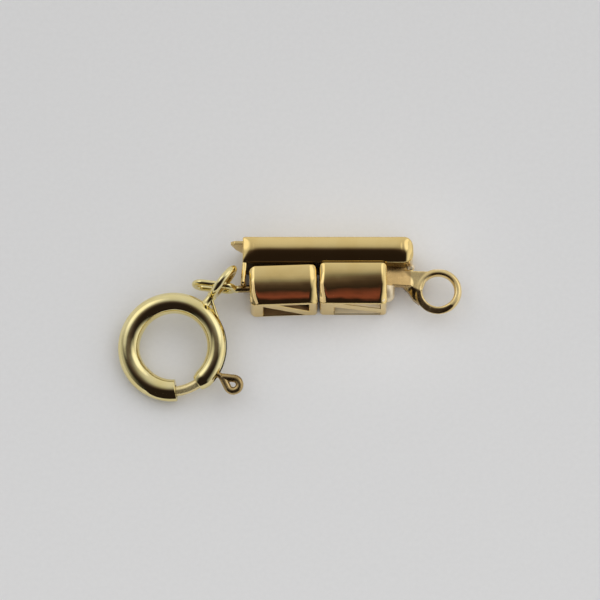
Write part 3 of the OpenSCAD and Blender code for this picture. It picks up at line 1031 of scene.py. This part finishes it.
def slot_cutter():
    """Sections along the slot, lower towards its two round ends."""
    half = slot_h / 2
    half_turn = math.degrees(half / (tube_path_r + tube_d / 2))
    ends = [half_turn * t for t in (0.0, 0.1, 0.3, 0.6, 1.0)]
    straight = slot_end - slot_start - 2 * half_turn
    middle = [slot_start + half_turn + straight * k / 40 for k in range(1, 40)]
    sections = []
    for clockwise in [slot_start + e for e in ends] + middle + [slot_end - e for e in reversed(ends)]:
        into_end = min(clockwise - slot_start, slot_end - clockwise, half_turn) / half_turn
        high = half * math.sqrt(max(1 - (1 - into_end) ** 2, 0.01))
        corners = ((0.1, -high), (0.8, -high), (0.8, high), (0.1, high))
        sections.append([on_ring(clockwise, out, above) for out, above in corners])
    return prism("slot", sections)


tube = build_tube()
cut(tube, [slot_cutter()])
tube.data.transform(ring_place)
finish_piece(tube, wire_gold, "sliding_half", "spring_ring", smooth_angle=35)

# %% [markdown]
# ## Bail
#
# The bail is a closed ring of wire that stands across the spring ring and passes through the hanging loop.
# Its neck flares into the tube, and a run of solder trails from it along the tube's outside, sinking in as
# it goes. They overlap and get one skin, as the eyelet's end did. The faces inside the bail are painted
# brown: painted shade inside the ring.

# %% Bail
bail_d = 2.22
bail_wire = 0.37
bail_twist = 4
bail_reach, ring_tilt = 4.44, math.radians(12)
bail_distance = bail_reach / math.cos(ring_tilt)
bail_r = (bail_d - bail_wire) / 2
bail_inwards, bail_thicker = 0.06, 0.03
bail_ring = ring_mesh(
    "bail_ring", Vector(), bail_r - bail_inwards,
    bail_wire / 2 + bail_inwards, bail_wire / 2 + bail_thicker,
)
bail_stand = Matrix.Rotation(math.radians(90 + bail_twist), 4, "X")
bail_ring.data.transform(Matrix.Translation((bail_distance, 0, 0)) @ bail_stand)
neck_from, neck_to = ring_d / 2 - 0.16, bail_distance - bail_r
neck_r = 0.22
bail_neck = round_bar(
    "bail_neck", lambda s: neck_r + 0.14 * (1 - s) ** 4 + 0.05 * s**4, neck_from, neck_to, 14, 32,
)
run_r, run_steps = 0.1, 11
run_path = [
    on_ring(-3 + 2 * k, 0.5 + 0.6 * (1 - k / run_steps) ** 1.6, 0.05) for k in range(run_steps + 1)
]
solder_run = sweep("solder_run", run_path, run_r)
bail = fuse("bail", [bail_ring, bail_neck, solder_run], voxel=0.022, rounds=4)


def faces_inwards(c, n):
    """1 for the faces that look at the bail's own centre."""
    inwards = Vector((bail_distance, 0, 0)) - c
    return int(inwards.length < bail_r and inwards.normalized().dot(n) > 0.3)


# The faces inside the bail are painted brown: painted shade.
paint_faces(bail, (wire_gold, brown_gold), faces_inwards)
bail.data.transform(ring_place)
finish_piece(bail, wire_gold, "sliding_half", "spring_ring", smooth_angle=80)

# %% [markdown]
# ## Gate and trigger
#
# A curved rod closes the gap. It slides in the tube, pushed by a hidden coil spring, and a
# nail pulls it back by the trigger: a bit of wire bent to a drop-shaped eye. The rod is
# thinner than its bore and the trigger's foot is narrower than its slot, so nothing scrapes
# when the gate is drawn back by 38 degrees. Both come from the wire helper.

# %% Gate
rod_d = 0.56
rod_start, rod_end, rod_steps = 62, 140, 60
rod_path = [on_ring(rod_start + (rod_end - rod_start) * k / rod_steps) for k in range(rod_steps + 1)]
rod = sweep("gate_rod", rod_path, rod_d / 2, sides=40)
rod.data.transform(ring_place)
# Part of the rod's brightness is a painted highlight: its metal mixes in a pale diffuse colour that
# lightens the rod's dark lower half.
finish_piece(rod, rod_gold, "gate", "gate", smooth_angle=60)

# %% Trigger
trigger_wire = 0.43
trigger_r = 0.56
trigger_at, trigger_lean = 83, -4
trigger_reach = 4.56
trigger_foot = ring_d / 2 + 0.27
shank_r = 0.165
eye_reach = trigger_reach - trigger_r - trigger_foot
eye_r = trigger_r - trigger_wire / 2
spread = math.degrees(math.asin(eye_r / eye_reach))
eye = arc_points(eye_reach, 0, eye_r, -90 - spread, 90 + spread, step=8)
side_shares = [0.02, 0.08, 0.2, 0.4, 0.6, 0.8]
near_side = [(eye[0][0] * t, eye[0][1] * t) for t in side_shares]
far_side = [(eye[-1][0] * t, eye[-1][1] * t) for t in reversed(side_shares)]
drop = near_side + eye + far_side
drop_wire = sweep("drop", [(x, y, 0) for x, y in drop], trigger_wire / 2, closed=True, sides=20)
foot = Matrix.Rotation(math.radians(-trigger_at), 4, "Z") @ Matrix.Translation((trigger_foot, 0, 0))
drop_wire.data.transform(foot @ Matrix.Rotation(math.radians(trigger_lean), 4, "Z"))
shank_path = [foot @ Vector((-0.5 + 0.1 * k, 0, 0)) for k in range(6)]
shank = sweep("shank", shank_path, shank_r, sides=20)
trigger = fuse("trigger", [drop_wire, shank], voxel=0.018, rounds=4)
trigger.data.transform(ring_place)
finish_piece(trigger, brown_gold, "gate", "gate", smooth_angle=80)

# %% [markdown]
# ## The table
#
# Jewellery is often shown on plain white paper. The paper is not part of the clasp. One big square is
# enough, so big that no edge of it shows in the gold.
# Its faint tooth comes from noise.

# %% Floor
paper = bpy.data.materials.new("paper")
tree, add = node_tree(paper)
place = add("ShaderNodeTexCoord").outputs["Object"]
tooth = add("ShaderNodeTexNoise", {"Vector": place, "Scale": 4000.0, "Detail": 4.0})
tone = add("ShaderNodeValToRGB", {"Fac": tooth.outputs["Fac"]})
set_ramp(tone, [(0.3, (0.8, 0.8, 0.8)), (0.7, (0.82, 0.82, 0.82))])
relief = add("ShaderNodeBump", {"Height": tooth.outputs["Fac"], "Distance": 0.002 * MM})
skin = add("ShaderNodeBsdfPrincipled", {"Base Color": tone.outputs[0], "Roughness": 0.8})
tree.links.new(relief.outputs[0], skin.inputs["Normal"])
add("ShaderNodeOutputMaterial", {"Surface": skin.outputs[0]})
half_floor = 300.0
corners = [(-half_floor, -half_floor, 0), (half_floor, -half_floor, 0)]
corners += [(half_floor, half_floor, 0), (-half_floor, half_floor, 0)]
floor = mesh_object("floor", corners, [(0, 1, 2, 3)])
floor.data.transform(Matrix.Scale(MM, 4))
floor.data.materials.append(paper)
print("paper", 2 * half_floor, "mm wide")

# %% [markdown]
# ## A room made of directions
#
# A polished dome shows every direction from back to front in a few pixels, so the room has to be drawn with
# care. It was worked out from the photo: the room is dark and a little warm in front, and grows lighter
# towards the back. Its far left and far right are pale walls, and two soft lights glow high up behind, at
# the right and at the left. The world's shader turns each of these into a ramp over one axis of the view
# direction, or round one direction, and the lightest of them wins. A picture of a real room would do too,
# but a few ramps are easier to tune.

# %% World and ramp helpers
world = bpy.data.worlds.new("room")
bpy.context.scene.world = world
tree, add = node_tree(world)
view = add("ShaderNodeTexCoord").outputs["Generated"]
direction = add("ShaderNodeSeparateXYZ", {"Vector": view})


def band(axis, stops):
    """A ramp over one axis of the direction, from -1 to 1."""
    along = direction.outputs[axis]
    spread = add("ShaderNodeMapRange", {"Value": along, "From Min": -1.0, "From Max": 1.0})
    ramp = add("ShaderNodeValToRGB", {"Fac": spread.outputs["Result"]})
    set_ramp(ramp, [((at + 1) / 2, level) for at, level in stops])
    return ramp.outputs["Color"]


def lighter(a, b):
    """The lighter of two colours."""
    node = add("ShaderNodeMix", {0: 1.0, 6: a, 7: b}, data_type="RGBA", blend_type="LIGHTEN")
    return node.outputs[2]


def glow(towards, stops):
    """A soft glow round one direction."""
    near = add("ShaderNodeVectorMath", {0: view}, operation="DOT_PRODUCT")
    near.inputs[1].default_value = Vector(towards).normalized()
    ramp = add("ShaderNodeValToRGB", {"Fac": near.outputs["Value"]})
    set_ramp(ramp, stops)
    return ramp.outputs["Color"]


def warmed(level):
    """A grey level, with more red in it the darker it is."""
    dark = 1 - min(level / 0.2, 1)
    return (level * (1 + 0.3 * dark), level * (1 - 0.1 * dark), level * (1 - 0.15 * dark))


# %% Levels of the room
back_ramp = [(-0.9, 0.014), (-0.45, 0.014), (-0.3, 0.017), (-0.2, 0.027), (-0.1, 0.05), (0, 0.11)]
back_ramp += [(0.1, 0.22), (0.2, 0.38), (0.34, 0.53), (0.5, 0.63), (0.87, 0.7)]
behind = band("Y", [(at, warmed(level)) for at, level in back_ramp])
right = band("X", [(0.45, 0.0), (0.6, 0.18), (0.71, 0.42), (0.85, 0.75), (1.0, 0.95)])
left = band("X", [(-1.0, 0.5), (-0.92, 0.36), (-0.82, 0.12), (-0.72, 0.03), (-0.6, 0.0)])
key = glow((0.59, 0.43, 0.69), [(0.78, 0.0), (0.88, 0.4), (0.97, 1.15)])
fill = glow((-0.6, 0.46, 0.66), [(0.83, 0.0), (0.9, 0.45), (0.95, 0.75), (0.985, 1.15)])
room = lighter(lighter(behind, lighter(left, right)), lighter(key, fill))
backdrop = add("ShaderNodeBackground", {"Color": room})
add("ShaderNodeOutputWorld", {"Surface": backdrop.outputs[0]})
print(len(tree.nodes), "nodes draw the room")

# %% [markdown]
# ## Soft light for the paper
#
# The room is too dim to light the paper, so two broad soft lights do that. They are hidden
# from reflections, or they would show as hard squares in the gold. Two small lights then
# light the paper alone, and stand for the light that the polished walls throw back on it.
#
# Some lights work the other way round, as cards that only the barrels mirror: a pale one at
# the left, and a stack of five warm ones in front, which make the barrels' front slopes
# red-brown. Each warm card is smaller and further down than the last, so the red fades in by
# steps that are too small to see. They stand at slightly different distances, because lights
# in one plane hide each other.

# %% Lights
def soft_light(name, place, size, power, colour, seen_in=None, lights_only=None, aim=(0, 0, 0)):
    """An area light. seen_in names the pieces that reflect it, lights_only what it lights."""
    light = bpy.data.lights.new(name, "AREA")
    light.shape = "RECTANGLE"
    light.size, light.size_y = size[0] * MM, size[1] * MM
    light.energy = power
    light.color = colour
    obj = bpy.data.objects.new(name, light)
    obj.location = Vector(place) * MM
    obj.rotation_euler = (Vector(aim) - Vector(place)).to_track_quat("-Z", "Y").to_euler()
    obj.visible_camera = False
    obj.visible_glossy = seen_in is not None
    if seen_in or lights_only:
        group = bpy.data.collections.new(name)
        for piece in seen_in or lights_only:
            group.objects.link(piece)
        obj.light_linking.receiver_collection = group
    bpy.context.scene.collection.objects.link(obj)


def card_power(radiance, size):
    """The power that gives an area light of this size this radiance."""
    return radiance * math.pi * size[0] * size[1] * MM**2


# %% Lights for the paper
white = (1.0, 1.0, 1.0)
soft_light("window", (50, 70, 110), (160, 160), 0.02, white)
soft_light("ceiling", (0, -80, 130), (260, 260), 0.16, white)
thrown_back = (1.0, 0.98, 0.96)
for name, place, size, radiance, aim in (
    ("bounce_front", (1.6, 0.6, 1.1), (7.6, 2.0), 0.24, (1.6, -2, 0.2)),
    ("bounce_round", (3.6, 2.4, 3.2), (10, 8), 0.2, (3.6, 2.4, 0)),
):
    soft_light(name, place, size, card_power(radiance, size), thrown_back, lights_only=[floor], aim=aim)

# %% Cards for the barrels
barrels = [lock_barrel, slide_barrel]
pale_size = (120, 80)
soft_light("pale_card", (-86, -24, 79), pale_size, card_power(0.6, pale_size), (1.0, 0.97, 1.1), barrels)
card_centre, down_the_card = Vector((-6, -34, 114)), Vector((0, -0.958, -0.286))
for k in range(5):
    size = (66 - 6 * k, 23 - 4.4 * k)
    place = card_centre * (1 - 0.01 * k) + down_the_card * (1.5 + 0.8 * k)
    soft_light("warm_card", place, size, card_power(0.036, size), (1.0, 0.28, 0.25), barrels)
print(len(bpy.data.lights), "lights")

# %% [markdown]
# ## Camera
#
# The photo looks down steeply, from 72 degrees above the table, through a long lens. So the
# camera stands 400 mm away and the lens is long enough for a frame 33 mm wide.

# %% Camera
elevation = math.radians(72)
aim = Vector((0.549, 1.554, 0.0))
distance = 400.0
frame_width = 32.97
camera = bpy.data.cameras.new("camera")
camera.lens = camera.sensor_width * distance / frame_width
camera.clip_start = 0.01
seat = bpy.data.objects.new("camera", camera)
seat.location = (aim + distance * Vector((0, -math.cos(elevation), math.sin(elevation)))) * MM
seat.rotation_euler = (math.radians(90) - elevation, 0, 0)
bpy.context.scene.collection.objects.link(seat)
bpy.context.scene.camera = seat
bpy.context.scene.view_settings.view_transform = "Standard"
print("lens", round(camera.lens, 1), "mm")
